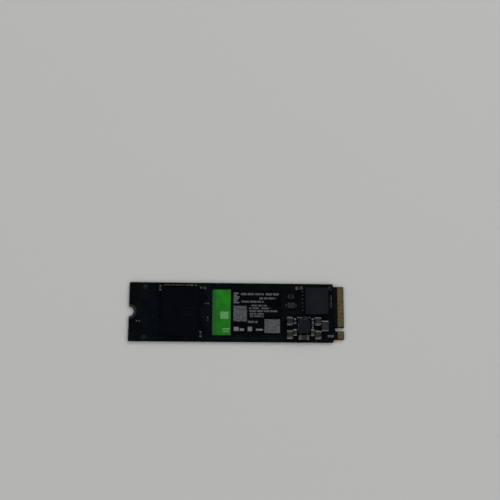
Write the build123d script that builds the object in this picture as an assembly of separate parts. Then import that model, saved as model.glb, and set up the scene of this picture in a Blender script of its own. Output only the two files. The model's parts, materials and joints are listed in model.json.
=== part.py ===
from build123d import *
from collections import namedtuple
import os

# A keyed solid state drive card with all its parts on one face, lying on its back.
# Millimetres. The origin is the middle of the underside, +X runs to the edge connector, +Z is up.

# Board
board_length = 80.0
board_width = 22.0
board_thickness = 0.8
board_corner_radius = 0.3
mask_thickness = 0.03  # solder mask, left off round bare metal
shoulder_radius = 0.5
shoulder_radius_limit = 0.47  # share of the step that one rounding may take
tongue_length = 4.0  # from the shoulders to the plugging edge
tongue_side_margin = 0.675  # from the middle of the end contacts to the tongue's sides
tongue_corner_radius = 0.5
bevel_length = 0.25  # lead-in on both faces of the plugging edge
bevel_depth = 0.15

# Key slot and contacts, numbered from 1 at +Y, odd ones on the top face and even ones below
pin_count = 75
key_first_pin = 59
key_last_pin = 66
key_width = 1.2
key_depth = 3.5
finger_pitch = 0.5  # between neighbours on one face
finger_width = 0.35
finger_length = 2.0
finger_setback = 0.05  # from the lead-in to the contacts
bare_strip = 0.2  # bare board past the contacts' inner ends

# Half-round notch for the holding screw, with its plated ring
notch_radius = 1.75
ring_width = 1.0
plating_thickness = 0.03

# Bare copper discs that aligned the board in assembly
fiducial_radius = 0.5
fiducial_clearance = 0.4  # mask-free ring round each disc
fiducial_edge_gap = 1.6  # from the long edges
fiducial_end_gap = 5.8  # from the notched end
fiducial_shoulder_gap = 1.1

# Flash memory package and controller package, both on solder balls
nand_length = 14.0
nand_width = 18.0
nand_height = 0.95
nand_ball_pitch = 1.0
nand_ball_margin = 1.5  # from the package edge to the outer balls
nand_ball_radius = 0.22
controller_length = 8.5
controller_width = 10.0
controller_height = 0.85
controller_shoulder_gap = 1.9
controller_ball_pitch = 0.65
controller_ball_margin = 1.0
controller_ball_radius = 0.18
ball_height = 0.25
ball_sides = 8
dot_radius = 0.45  # dimple that marks the first contact of a package
dot_inset = 1.3
dot_depth = 0.04

# Label, stuck flat on the bare middle of the board
label_length = 25.7
label_width = 17.0
label_thickness = 0.1
label_corner_radius = 0.4

# Chip parts by size: length, width, height, metal end, and reach of the solder past the end
tiny_length = 0.6
tiny_width = 0.3
tiny_height = 0.3
tiny_end = 0.15
tiny_toe = 0.1
small_length = 1.0
small_width = 0.5
small_height = 0.5
small_end = 0.25
small_toe = 0.18
medium_length = 1.6
medium_width = 0.8
medium_height = 0.8
medium_end = 0.35
medium_toe = 0.22
large_length = 2.0
large_width = 1.25
large_height = 1.0
large_end = 0.45
large_toe = 0.26
bulk_length = 3.2
bulk_width = 1.6
bulk_height = 1.2
bulk_end = 0.5
bulk_toe = 0.3
reserve_length = 3.2
reserve_width = 2.5
reserve_height = 1.3
reserve_end = 0.55
reserve_toe = 0.3
resistor_height = 0.32
resistor_film = 0.03  # glass coat on a resistor's top
end_wrap = 0.02  # how far a metal end stands proud of its body

# Power inductors, two on each side of the power chip
inductor_length = 2.5
inductor_width = 2.0
inductor_height = 1.54
inductor_end = 0.5
inductor_toe = 0.3
inductor_row_gap = 2.57

# Power chip, load switch and their leads
pmic_length = 4.0
pmic_width = 5.0
pmic_height = 0.85
switch_length = 2.0
switch_width = 2.0
switch_height = 0.75
lead_pitch = 0.5
lead_width = 0.25
lead_length = 0.4
lead_thickness = 0.2
lead_toe = 0.15
lead_corner_gap = 0.6  # from a package corner to the middle of the nearest lead
pad_gap = 0.3  # from the leads to the heat pad
small_dot_radius = 0.22
small_dot_inset = 0.65

# Crystal
crystal_length = 2.5
crystal_width = 2.0
crystal_base_height = 0.35
crystal_lid_height = 0.3
crystal_rim = 0.15  # of the base, round the lid
crystal_lid_round = 0.1
crystal_foot_length = 0.7
crystal_foot_width = 0.6

# Solder
solder_gap = 0.04  # solder under every metal end and lead
solder_lip = 0.02

# Spacing of the large blocks, as shares of the length and the width that they leave free
end_share = 0.632
nand_label_share = 0.258
controller_edge_share = 0.392  # past the controller at the +Y edge
inductor_edge_share = 0.339  # past the inductors at the -Y edge

# Spacing round the parts
nand_cap_gap = 0.2  # from the memory package to the chips beside its corners
nand_row_gap = 0.65  # between chips in the row along its +Y side
nand_row_start = 1.2  # from the package's -X edge to the row
label_cap_gap = 1.5  # from the label to the chips before it
label_cap_high_y = 3.2
label_cap_low_y = -2.5
controller_cap_gap = 0.5  # from the controller's -X edge
controller_cap_pitch = 1.4
controller_cap_count = 6
column_gap = 0.9  # from the power chip to the chip columns beside it
column_pitch_gap = 0.7  # between chips in a column
column_rise = 0.2  # from the power chip's +Y edge to the columns' ends
inductor_gap = 0.55  # from a column to its inductors
bulk_drop = 0.3  # of the bulk chip past the inductors' solder
pmic_bulk_gap = 0.9
pmic_row_gap = 0.5
pmic_row_pitch = 1.65
crystal_drop = 1.7  # from the controller's middle to the crystal's
crystal_inset = 1.5  # from the inductors' outer side to the crystal's middle
crystal_cap_gap = 0.6
switch_crystal_gap = 1.3
lane_cap_count = 8
lane_cap_pitch = 0.6
reserve_rise = 3.0  # from the end of the inductors' solder
reserve_shoulder_gap = 1.9
reserve_inductor_gap = 0.4
supply_cap_edge_gap = 1.1
supply_cap_gap = 1.3  # from the controller's -X edge
fuse_rise = 0.7  # from the end of the inductors' solder
fuse_shoulder_gap = 0.1  # from its solder
thermistor_inset = 3.5
thermistor_y = -3.5

Chip = namedtuple("Chip", "length width height end toe")
Place = namedtuple("Place", "chip x y turned")

tiny_chip = Chip(tiny_length, tiny_width, tiny_height, tiny_end, tiny_toe)
small_chip = Chip(small_length, small_width, small_height, small_end, small_toe)
medium_chip = Chip(medium_length, medium_width, medium_height, medium_end, medium_toe)
large_chip = Chip(large_length, large_width, large_height, large_end, large_toe)
bulk_chip = Chip(bulk_length, bulk_width, bulk_height, bulk_end, bulk_toe)
reserve_chip = Chip(reserve_length, reserve_width, reserve_height, reserve_end, reserve_toe)
resistor_chip = Chip(small_length, small_width, resistor_height, small_end, small_toe)
inductor_chip = Chip(inductor_length, inductor_width, inductor_height, inductor_end, inductor_toe)

# Places that follow from the sizes
board_top = board_thickness
board_left = -board_length / 2
board_right = board_length / 2
board_edge = board_width / 2
shoulder_x = board_right - tongue_length
middle_pin = (pin_count + 1) / 2
tongue_width = (pin_count - 1) * finger_pitch / 2 + 2 * tongue_side_margin
key_y = (middle_pin - (key_first_pin + key_last_pin) / 2) * finger_pitch / 2
finger_tip_x = board_right - bevel_length - finger_setback
bare_zone_x = finger_tip_x - finger_length - bare_strip
package_bottom = board_top + ball_height

column_x = pmic_length / 2 + column_gap + medium_width / 2
inductor_x = column_x + medium_width / 2 + inductor_gap + inductor_width / 2
power_length = 2 * inductor_x + inductor_width
fuse_x = shoulder_x - fuse_shoulder_gap - medium_toe - medium_length / 2
reserve_x = shoulder_x - reserve_shoulder_gap - reserve_width / 2
power_right = reserve_x - reserve_width / 2 - reserve_inductor_gap
power_left = power_right - power_length
free_length = power_left - board_left - nand_length - label_length
nand_left = board_left + free_length * end_share
nand_right = nand_left + nand_length
label_left = nand_right + free_length * nand_label_share
nand_x = (nand_left + nand_right) / 2
label_x = label_left + label_length / 2
power_x = (power_left + power_right) / 2
controller_right = shoulder_x - controller_shoulder_gap
controller_left = controller_right - controller_length
controller_x = (controller_left + controller_right) / 2

power_width = 2 * (inductor_length + inductor_toe) + inductor_row_gap
free_width = board_width - controller_width - power_width
controller_y = board_edge - free_width * controller_edge_share - controller_width / 2
power_low_y = -board_edge + free_width * inductor_edge_share
inductor_low_y = power_low_y + inductor_toe + inductor_length / 2
inductor_high_y = inductor_low_y + inductor_length + inductor_row_gap
bulk_y = power_low_y - bulk_drop + bulk_width / 2
pmic_y = bulk_y + bulk_width / 2 + pmic_bulk_gap + pmic_width / 2
pmic_top_y = pmic_y + pmic_width / 2
pmic_row_y = pmic_top_y + pmic_row_gap + small_width / 2
reserve_y = power_low_y + reserve_rise + reserve_toe + reserve_length / 2
fuse_y = power_low_y + fuse_rise + medium_width / 2
nand_row_y = (nand_width / 2 + board_edge) / 2
crystal_x = power_left + crystal_inset
crystal_y = controller_y - crystal_drop
switch_y = crystal_y + crystal_width / 2 + switch_crystal_gap + switch_width / 2


def block(length, width, height, x, y, bottom):
    """A plain box with its middle at x, y and its underside at the given height."""
    seat = (Align.CENTER, Align.CENTER, Align.MIN)
    return Pos(x, y, bottom) * Box(length, width, height, align=seat)


def disc(radius, height, x, y, bottom):
    """A flat cylinder standing at x, y with its underside at the given height."""
    seat = (Align.CENTER, Align.CENTER, Align.MIN)
    return Pos(x, y, bottom) * Cylinder(radius, height, align=seat)


def upright_edges(plate, x, y):
    """A plate's vertical edges at this x and at plus and minus y."""
    near = 1e-3

    def here(edge):
        middle = edge.center()
        return abs(middle.X - x) < near and abs(abs(middle.Y) - y) < near

    return plate.edges().filter_by(Axis.Z).filter_by(here)


def fiducial_places():
    """Two discs near the notched end and one by a shoulder."""
    high = board_edge - fiducial_edge_gap
    end = board_left + fiducial_end_gap
    return [(end, high), (end, -high), (shoulder_x - fiducial_shoulder_gap, high)]


def board():
    """The board with its tongue, key slot, screw notch and the places where the mask is left off."""
    body_length = shoulder_x - board_left
    plate = block(body_length, board_width, board_thickness, board_left + body_length / 2, 0, 0)
    plate += block(tongue_length, tongue_width, board_thickness, shoulder_x + tongue_length / 2, 0, 0)
    plate = fillet(upright_edges(plate, board_left, board_edge), board_corner_radius)
    step = abs(board_width - tongue_width) / 2
    step_radius = min(shoulder_radius, step * shoulder_radius_limit)
    plate = fillet(upright_edges(plate, shoulder_x, board_edge), step_radius)
    plate = fillet(upright_edges(plate, shoulder_x, tongue_width / 2), step_radius)
    plate = fillet(upright_edges(plate, board_right, tongue_width / 2), tongue_corner_radius)

    slot_end_x = board_right - key_depth + key_width / 2
    plate -= disc(key_width / 2, board_thickness, slot_end_x, key_y, 0)
    slot_run = board_right - slot_end_x
    plate -= block(slot_run, key_width, board_thickness, slot_end_x + slot_run / 2, key_y, 0)

    for face, into in ((0, 1), (board_top, -1)):
        corner = (board_right, face)
        inner = (board_right - bevel_length, face)
        deep = (board_right, face + into * bevel_depth)
        wedge = make_face(Polyline(corner, inner, deep, close=True))
        plate -= extrude(Plane.XZ * wedge, tongue_width / 2, both=True)

    plate -= disc(notch_radius + plating_thickness, board_thickness, board_left, 0, 0)
    bare_length = board_right - bare_zone_x
    for bottom in (0, board_top - mask_thickness):
        plate -= block(bare_length, tongue_width, mask_thickness, bare_zone_x + bare_length / 2, 0, bottom)
        plate -= disc(notch_radius + ring_width, mask_thickness, board_left, 0, bottom)
    for x, y in fiducial_places():
        opening = fiducial_radius + fiducial_clearance
        plate -= disc(opening, mask_thickness, x, y, board_top - mask_thickness)
    return plate


def contacts(first_pin, bottom):
    """The gold contacts of one face, every second pin, with none across the key slot."""
    found = []
    for pin in range(first_pin, pin_count + 1, 2):
        if key_first_pin <= pin <= key_last_pin:
            continue
        y = (middle_pin - pin) * finger_pitch / 2
        x = finger_tip_x - finger_length / 2
        found.append(block(finger_length, finger_width, mask_thickness, x, y, bottom))
    return found


def mounting_ring():
    """Plating round the screw notch: a half ring on each face and the lining that joins them."""
    outer = notch_radius + ring_width
    ring = disc(outer, mask_thickness, board_left, 0, 0)
    ring += disc(outer, mask_thickness, board_left, 0, board_top - mask_thickness)
    ring += disc(notch_radius + plating_thickness, board_thickness, board_left, 0, 0)
    ring -= disc(notch_radius, board_thickness, board_left, 0, 0)
    return ring & block(outer, 2 * outer, board_thickness, board_left + outer / 2, 0, 0)


def fiducials():
    """The bare discs, level with the mask round them."""
    bottom = board_top - mask_thickness
    return [disc(fiducial_radius, mask_thickness, x, y, bottom) for x, y in fiducial_places()]


def ball_package(length, width, height, x, y):
    """A moulded package with a dimple by its first contact."""
    package = block(length, width, height, x, y, package_bottom)
    dot_x = x - length / 2 + dot_inset
    dot_y = y + width / 2 - dot_inset
    return package - disc(dot_radius, dot_depth, dot_x, dot_y, package_bottom + height - dot_depth)


def solder_balls(length, width, pitch, margin, radius, x, y):
    """A full grid of solder balls, each one an eight-sided barrel between package and board."""
    columns = int((length - 2 * margin) / pitch) + 1
    rows = int((width - 2 * margin) / pitch) + 1
    ball = extrude(RegularPolygon(radius, ball_sides), ball_height)
    return [Pos(x, y, board_top) * place * ball for place in GridLocations(pitch, pitch, columns, rows)]


def label():
    """The label, a thin sheet with rounded corners."""
    outline = RectangleRounded(label_length, label_width, label_corner_radius)
    return extrude(Pos(label_x, 0, board_top) * outline, label_thickness)


def solder_joint(inner, outer, toe, width):
    """Solder under a metal end and up its face in a round hollow, drawn for an end that faces +X."""
    foot = outer + toe
    rise = solder_lip + toe
    hollow = toe * (1 - 0.5**0.5)
    edge = Polyline(
        (outer, rise), (outer, solder_gap), (inner, solder_gap), (inner, 0), (foot, 0), (foot, solder_lip)
    )
    edge += ThreePointArc((foot, solder_lip), (outer + hollow, solder_lip + hollow), (outer, rise))
    return extrude(Plane.XZ * make_face(edge), width / 2, both=True)


def chip_body(place):
    """The body of a chip part, between its two metal ends."""
    chip, x, y, turned = place
    length = chip.length - 2 * chip.end
    width = chip.width - 2 * end_wrap
    bottom = board_top + solder_gap + end_wrap
    body = block(length, width, chip.height - 2 * end_wrap, 0, 0, bottom)
    return Location((x, y, 0), (0, 0, 90 if turned else 0)) * body


def chip_ends(place):
    """The two metal ends of a chip part."""
    chip, x, y, turned = place
    reach = (chip.length - chip.end) / 2
    where = Location((x, y, 0), (0, 0, 90 if turned else 0))
    bottom = board_top + solder_gap
    return [where * block(chip.end, chip.width, chip.height, side * reach, 0, bottom) for side in (-1, 1)]


def chip_solder(place):
    """The two solder joints of a chip part."""
    chip, x, y, turned = place
    joint = solder_joint(chip.length / 2 - chip.end, chip.length / 2, chip.toe, chip.width)
    turns = (90, 270) if turned else (0, 180)
    return [Location((x, y, board_top), (0, 0, turn)) * joint for turn in turns]


def resistor_coat(place):
    """The dark glass film on a resistor, a little proud of its metal ends."""
    chip, x, y, turned = place
    length = chip.length - 2 * chip.end
    bottom = board_top + solder_gap + chip.height - end_wrap
    film = block(length, chip.width - 2 * end_wrap, resistor_film, 0, 0, bottom)
    return Location((x, y, 0), (0, 0, 90 if turned else 0)) * film


def lead_offsets(side_length):
    """Where the leads stand along one side of a package, counted from its middle."""
    count = int((side_length - 2 * lead_corner_gap) / lead_pitch) + 1
    return [(i - (count - 1) / 2) * lead_pitch for i in range(count)]


def lead_places(length, width, all_round):
    """Each lead of a flat package: its place, its turn and its distance from the package's middle."""
    found = []
    for offset in lead_offsets(width):
        found += [(0, offset, 0, length / 2), (0, offset, 180, length / 2)]
    if all_round:
        for offset in lead_offsets(length):
            found += [(offset, 0, 90, width / 2), (offset, 0, 270, width / 2)]
    return found


def flat_package(length, width, height, x, y, all_round):
    """A leadless package, its leads with the heat pad, and its solder, as three lists."""
    leads = []
    solder = []
    bottom = board_top + solder_gap
    for offset_x, offset_y, turn, reach in lead_places(length, width, all_round):
        where = Location((x + offset_x, y + offset_y, 0), (0, 0, turn))
        lead_x = reach - lead_length / 2
        leads.append(where * block(lead_length, lead_width, lead_thickness, lead_x, 0, bottom))
        joint = Pos(0, 0, board_top) * solder_joint(reach - lead_length, reach, lead_toe, lead_width)
        solder.append(where * joint)
    pad_length = length - 2 * (lead_length + pad_gap)
    pad_width = width - 2 * (lead_length + pad_gap)
    leads.append(block(pad_length, pad_width, lead_thickness, x, y, bottom))
    solder.append(block(pad_length, pad_width, solder_gap, x, y, board_top))
    package = block(length, width, height, x, y, bottom)
    dot_x = x - length / 2 + small_dot_inset
    dot_y = y + width / 2 - small_dot_inset
    package -= disc(small_dot_radius, dot_depth, dot_x, dot_y, bottom + height - dot_depth)
    for lead in leads:
        package -= lead
    return [package], leads, solder


def crystal():
    """The crystal's ceramic base, its metal lid and the solder under its four feet, as three lists."""
    bottom = board_top + solder_gap
    base = block(crystal_length, crystal_width, crystal_base_height, crystal_x, crystal_y, bottom)
    lid_length = crystal_length - 2 * crystal_rim
    lid_width = crystal_width - 2 * crystal_rim
    lid_bottom = bottom + crystal_base_height
    lid = block(lid_length, lid_width, crystal_lid_height, crystal_x, crystal_y, lid_bottom)
    lid = fillet(lid.edges().filter_by(Axis.Z), crystal_rim)
    lid = fillet(lid.faces().sort_by(Axis.Z)[-1].edges(), crystal_lid_round)
    feet = []
    reach_x = (crystal_length - crystal_foot_length) / 2
    reach_y = (crystal_width - crystal_foot_width) / 2
    for place in GridLocations(2 * reach_x, 2 * reach_y, 2, 2):
        foot = block(crystal_foot_length, crystal_foot_width, solder_gap, 0, 0, board_top)
        feet.append(Pos(crystal_x, crystal_y, 0) * place * foot)
    return [base], [lid], feet


def nand_capacitors():
    """Chips round the memory package: a row along its +Y side and a few beside its corners."""
    row_chips = (small_chip, small_chip, small_chip, small_chip, small_chip, medium_chip, small_chip)
    found = []
    x = nand_left + nand_row_start
    for chip in row_chips:
        found.append(Place(chip, x + chip.length / 2, nand_row_y, False))
        x += chip.length + nand_row_gap
    beside = nand_cap_gap + medium_width / 2
    corner_y = nand_width / 2
    found.append(Place(medium_chip, nand_left - beside, corner_y, True))
    high_x = nand_right + nand_cap_gap + medium_toe + medium_length / 2
    found.append(Place(medium_chip, high_x, corner_y, False))
    found.append(Place(medium_chip, nand_right + beside, medium_length / 2 - corner_y, True))
    found.append(Place(small_chip, label_left - label_cap_gap - small_length / 2, label_cap_high_y, False))
    return found


def controller_capacitors():
    """Tiny chips along the controller's -X side, and one at each end of the crystal."""
    found = []
    x = controller_left - controller_cap_gap - tiny_length / 2
    for i in range(controller_cap_count):
        y = controller_y + (i - (controller_cap_count - 1) / 2) * controller_cap_pitch
        found.append(Place(tiny_chip, x, y, False))
    reach = crystal_length / 2 + crystal_cap_gap
    found += [Place(tiny_chip, crystal_x + side * reach, crystal_y, True) for side in (-1, 1)]
    return found


def column_places(x, chips):
    """Chips end to end down the side of the power chip. A gap is left for a missing one."""
    found = []
    y = pmic_top_y + column_rise
    for chip, fitted in chips:
        if fitted:
            found.append(Place(chip, x, y - chip.length / 2, True))
        y -= chip.length + column_pitch_gap
    return found


def power_capacitors():
    """The two columns beside the power chip, the bulk chip below it and one small chip above it."""
    left_column = ((medium_chip, True), (small_chip, False), (large_chip, True))
    right_column = ((medium_chip, True), (small_chip, True), (large_chip, True))
    found = column_places(power_x - column_x, left_column)
    found += column_places(power_x + column_x, right_column)
    found.append(Place(bulk_chip, power_x, bulk_y, False))
    found.append(Place(small_chip, power_x - pmic_row_pitch, pmic_row_y, False))
    return found


def lane_capacitors():
    """Tiny chips in the data lanes, between the controller and the contacts."""
    found = []
    x = (controller_right + shoulder_x) / 2
    for i in range(lane_cap_count):
        y = controller_y + (i - (lane_cap_count - 1) / 2) * lane_cap_pitch
        found.append(Place(tiny_chip, x, y, False))
    return found


def input_capacitors():
    """The supply chip at the +Y edge and the reserve chip by the connector."""
    supply_x = controller_left - supply_cap_gap - large_length / 2
    supply_y = board_edge - supply_cap_edge_gap - large_width / 2
    supply = Place(large_chip, supply_x, supply_y, False)
    return [supply, Place(reserve_chip, reserve_x, reserve_y, True)]


def resistors():
    """Small resistors above the power chip and one before the label."""
    found = [Place(resistor_chip, power_x + i * pmic_row_pitch, pmic_row_y, False) for i in (0, 1)]
    found.append(Place(resistor_chip, label_left - label_cap_gap - small_width / 2, label_cap_low_y, True))
    return found


def inductors():
    """Two power inductors on each side of the power chip, standing lengthways in Y."""
    found = []
    for x in (power_x - inductor_x, power_x + inductor_x):
        for y in (inductor_high_y, inductor_low_y):
            found.append(Place(inductor_chip, x, y, True))
    return found


def input_fuse():
    """The fuse in the supply line, in the corner below the key slot."""
    return Place(medium_chip, fuse_x, fuse_y, False)


def thermistor():
    """The temperature sensor near the notched end."""
    return Place(resistor_chip, board_left + thermistor_inset, thermistor_y, False)


def save(name, solids):
    """Writes one sub-part, made of one solid or several, to its own file."""
    export_step(Compound(children=list(solids)), os.path.join("parts", name + ".step"))


def main():
    os.makedirs("parts", exist_ok=True)
    save("pcb", [board()])
    save("contact_fingers_top", contacts(1, board_top - mask_thickness))
    save("contact_fingers_bottom", contacts(2, 0))
    save("mounting_ring", [mounting_ring()])
    save("fiducial_discs", fiducials())

    nand_size = (nand_length, nand_width)
    nand_grid = (nand_ball_pitch, nand_ball_margin, nand_ball_radius)
    nand_place = (nand_x, 0)
    save("nand_flash", [ball_package(*nand_size, nand_height, *nand_place)])
    save("nand_solder_balls", solder_balls(*nand_size, *nand_grid, *nand_place))
    controller_size = (controller_length, controller_width)
    controller_grid = (controller_ball_pitch, controller_ball_margin, controller_ball_radius)
    controller_place = (controller_x, controller_y)
    save("controller", [ball_package(*controller_size, controller_height, *controller_place)])
    save("controller_solder_balls", solder_balls(*controller_size, *controller_grid, *controller_place))
    save("label", [label()])

    solder = []
    packages = (
        ("pmic", pmic_length, pmic_width, pmic_height, power_x, pmic_y, True),
        ("load_switch", switch_length, switch_width, switch_height, crystal_x, switch_y, False),
    )
    for name, *sizes in packages:
        package, leads, joints = flat_package(*sizes)
        save(name, package)
        save(name + "_leads", leads)
        solder += joints

    base, lid, feet = crystal()
    save("crystal_base", base)
    save("crystal_lid", lid)
    solder += feet

    chip_groups = {
        "nand_capacitor": nand_capacitors(),
        "controller_capacitor": controller_capacitors(),
        "power_capacitor": power_capacitors(),
        "lane_capacitor": lane_capacitors(),
        "input_capacitor": input_capacitors(),
        "resistor": resistors(),
    }
    singles = {"input_fuse": input_fuse(), "thermistor": thermistor()}
    for i, place in enumerate(inductors(), start=1):
        singles[f"inductor_{i}"] = place
    for name, places in chip_groups.items():
        save(name + "s", [chip_body(place) for place in places])
        save(name + "_ends", [end for place in places for end in chip_ends(place)])
    for name, place in singles.items():
        save(name, [chip_body(place)])
        save(name + "_ends", chip_ends(place))
    save("resistor_films", [resistor_coat(place) for place in resistors()])

    every_place = [place for places in chip_groups.values() for place in places] + list(singles.values())
    for place in every_place:
        solder += chip_solder(place)
    save("solder_joints", solder)


main()
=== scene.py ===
import bpy
import json
import math
import numpy as np
import random
from mathutils import Matrix, Vector
from types import SimpleNamespace


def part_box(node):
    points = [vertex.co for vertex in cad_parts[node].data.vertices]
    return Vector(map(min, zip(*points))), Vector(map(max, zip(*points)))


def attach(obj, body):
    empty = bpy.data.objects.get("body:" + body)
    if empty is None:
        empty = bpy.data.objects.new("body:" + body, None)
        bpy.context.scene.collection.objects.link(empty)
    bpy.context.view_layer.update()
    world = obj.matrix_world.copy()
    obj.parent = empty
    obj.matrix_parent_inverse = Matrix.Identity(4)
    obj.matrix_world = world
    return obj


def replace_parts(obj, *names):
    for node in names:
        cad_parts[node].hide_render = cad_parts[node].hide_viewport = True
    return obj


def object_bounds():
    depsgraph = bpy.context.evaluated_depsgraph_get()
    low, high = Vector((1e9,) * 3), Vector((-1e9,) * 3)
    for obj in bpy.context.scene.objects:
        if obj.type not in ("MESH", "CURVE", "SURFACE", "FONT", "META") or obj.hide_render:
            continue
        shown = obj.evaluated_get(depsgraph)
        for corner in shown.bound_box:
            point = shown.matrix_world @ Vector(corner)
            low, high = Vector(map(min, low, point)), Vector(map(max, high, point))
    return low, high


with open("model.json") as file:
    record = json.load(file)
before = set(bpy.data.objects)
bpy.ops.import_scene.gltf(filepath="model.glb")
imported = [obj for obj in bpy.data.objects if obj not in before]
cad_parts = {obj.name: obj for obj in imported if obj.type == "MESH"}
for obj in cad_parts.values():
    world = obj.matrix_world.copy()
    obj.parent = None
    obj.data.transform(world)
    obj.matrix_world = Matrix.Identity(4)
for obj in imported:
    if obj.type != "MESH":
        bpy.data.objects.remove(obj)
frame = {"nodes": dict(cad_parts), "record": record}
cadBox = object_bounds()
nodes = frame["nodes"]
slots = {subpart["node"]: subpart["material_slot"] for subpart in frame["record"]["subparts"]}
mm = 0.001
weldGap = 0.0005 * mm  # points nearer than this are one
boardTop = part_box("pcb")[1].z
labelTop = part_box("label")[1].z
print("frame loaded:", len(nodes), "nodes")


# small helpers for node trees, used by shaders and Geometry Nodes alike
def put(tree, kind, inputs=None, **settings):
    made = tree.nodes.new(kind)
    for key, value in settings.items():
        setattr(made, key, value)
    for key, value in (inputs or {}).items():
        if isinstance(value, bpy.types.NodeSocket):
            tree.links.new(value, made.inputs[key])
        else:
            made.inputs[key].default_value = value
    return made


def calc(tree, operation, a, b=0.0):
    return put(tree, "ShaderNodeMath", {0: a, 1: b}, operation=operation).outputs[0]


def near(tree, value, centre, reach):
    # 1 within reach of the centre, 0 beyond it
    return put(tree, "ShaderNodeMath", {0: value, 1: centre, 2: reach}, operation="COMPARE").outputs[0]


def weighted(tree, *pairs):
    # the sum of values, each times its weight
    terms = [calc(tree, "MULTIPLY", value, weight) for value, weight in pairs]
    total = terms[0]
    for term in terms[1:]:
        total = calc(tree, "ADD", total, term)
    return total


def spread(tree, value, low, high, start=0.0, end=1.0):
    # low..high becomes start..end, with soft ends
    inputs = {"Value": value, "From Min": low, "From Max": high, "To Min": start, "To Max": end}
    return put(tree, "ShaderNodeMapRange", inputs, interpolation_type="SMOOTHSTEP").outputs[0]


def mixColour(tree, factor, a, b):
    made = put(tree, "ShaderNodeMix", {0: factor}, data_type="RGBA")
    for index, colour in ((6, a), (7, b)):
        if isinstance(colour, bpy.types.NodeSocket):
            tree.links.new(colour, made.inputs[index])
        else:
            made.inputs[index].default_value = (*colour, 1.0)
    return made.outputs[2]


def noise(tree, place, size, detail=2.0, stretch=(1.0, 1.0, 1.0)):
    # grain of about this many millimetres, drawn out along an axis by stretch
    scale = [1.0 / (size * mm * pull) for pull in stretch]
    spot = put(tree, "ShaderNodeMapping", {"Vector": place, "Scale": scale}).outputs[0]
    return put(tree, "ShaderNodeTexNoise", {"Vector": spot, "Scale": 1.0, "Detail": detail}).outputs[0]


# values that the finishes share
noDetail, richDetail = 0.0, 3.0  # detail of a noise
noiseSpan, roughSpan = (0.35, 0.65), (0.3, 0.7)  # part of a noise that is used for colour and for roughness
levelFace = 0.5  # faces whose normal rises more than this lie flat


def startFinish(name, colour, rough, gloss, metal=0.0):
    finish = bpy.data.materials.new(name)
    finish.use_nodes = True
    tree = finish.node_tree
    tree.nodes.clear()
    shader = put(tree, "ShaderNodeBsdfPrincipled", {"Base Color": (*colour, 1.0), "Roughness": rough,
                                                    "Metallic": metal, "Specular IOR Level": gloss})
    put(tree, "ShaderNodeOutputMaterial", {"Surface": shader.outputs[0]})
    return finish, tree, shader, put(tree, "ShaderNodeTexCoord").outputs


def wire(tree, shader, colour, rough, height, depth):
    # with no rough the shader keeps its own; depth is the height of the relief in millimetres
    tree.links.new(colour, shader.inputs["Base Color"])
    if rough is not None:
        tree.links.new(rough, shader.inputs["Roughness"])
    relief = put(tree, "ShaderNodeBump", {"Height": height, "Distance": depth * mm, "Strength": 1.0})
    tree.links.new(relief.outputs[0], shader.inputs["Normal"])


# black solder mask over woven laminate, bare where the mask is left off and along the cut edges
maskLook = dict(name="blackMask", black=(0.0014, 0.0030, 0.0040), worn=(0.0030, 0.0046, 0.0058),
                laminate=(0.060, 0.047, 0.024), core=(0.030, 0.026, 0.016), opening=(0.0125, 0.0118, 0.0092),
                openingFace=0.9, maskDepth=0.015, rough=(0.22, 0.31), bareRough=0.3, gloss=0.13,
                cloudSize=5.0, cloudSpan=(0.35, 0.7), fibreSize=0.35, fibreStretch=(6.0, 6.0, 0.35),
                weavePitch=0.46, weaveLift=0.1, grainSize=0.12, grainLift=0.4, depth=0.006)

# copper under the mask on the underside: vias in loose rows and a bundle of lines from end to end
underLook = dict(viaPitch=2.3, looseness=0.35, viaFrom=0.13, viaTo=0.2, linePitch=0.42, lineShare=0.4,
                 bundleHalf=2.1, bundleStart=-20.0, bundleEnd=33.0, lift=0.8, tone=(0.0105, 0.0125, 0.0135))


def undersideCopper(tree, x, y, place):
    pitch = underLook["viaPitch"]
    spot = put(tree, "ShaderNodeMapping", {"Vector": place, "Scale": [1 / (pitch * mm)] * 3}).outputs[0]
    away = put(tree, "ShaderNodeTexVoronoi",
               {"Vector": spot, "Scale": 1.0, "Randomness": underLook["looseness"]},
               voronoi_dimensions="2D").outputs["Distance"]
    vias = spread(tree, away, underLook["viaFrom"] / pitch, underLook["viaTo"] / pitch, 1.0, 0.0)
    phase = calc(tree, "FRACT", calc(tree, "DIVIDE", y, underLook["linePitch"] * mm))
    lines = calc(tree, "LESS_THAN", phase, underLook["lineShare"])
    middle = (underLook["bundleStart"] + underLook["bundleEnd"]) / 2
    across = near(tree, y, 0.0, underLook["bundleHalf"] * mm)
    along = near(tree, x, middle * mm, (underLook["bundleEnd"] - middle) * mm)
    lines = calc(tree, "MULTIPLY", lines, calc(tree, "MULTIPLY", across, along))
    return calc(tree, "MAXIMUM", vias, lines)


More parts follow.
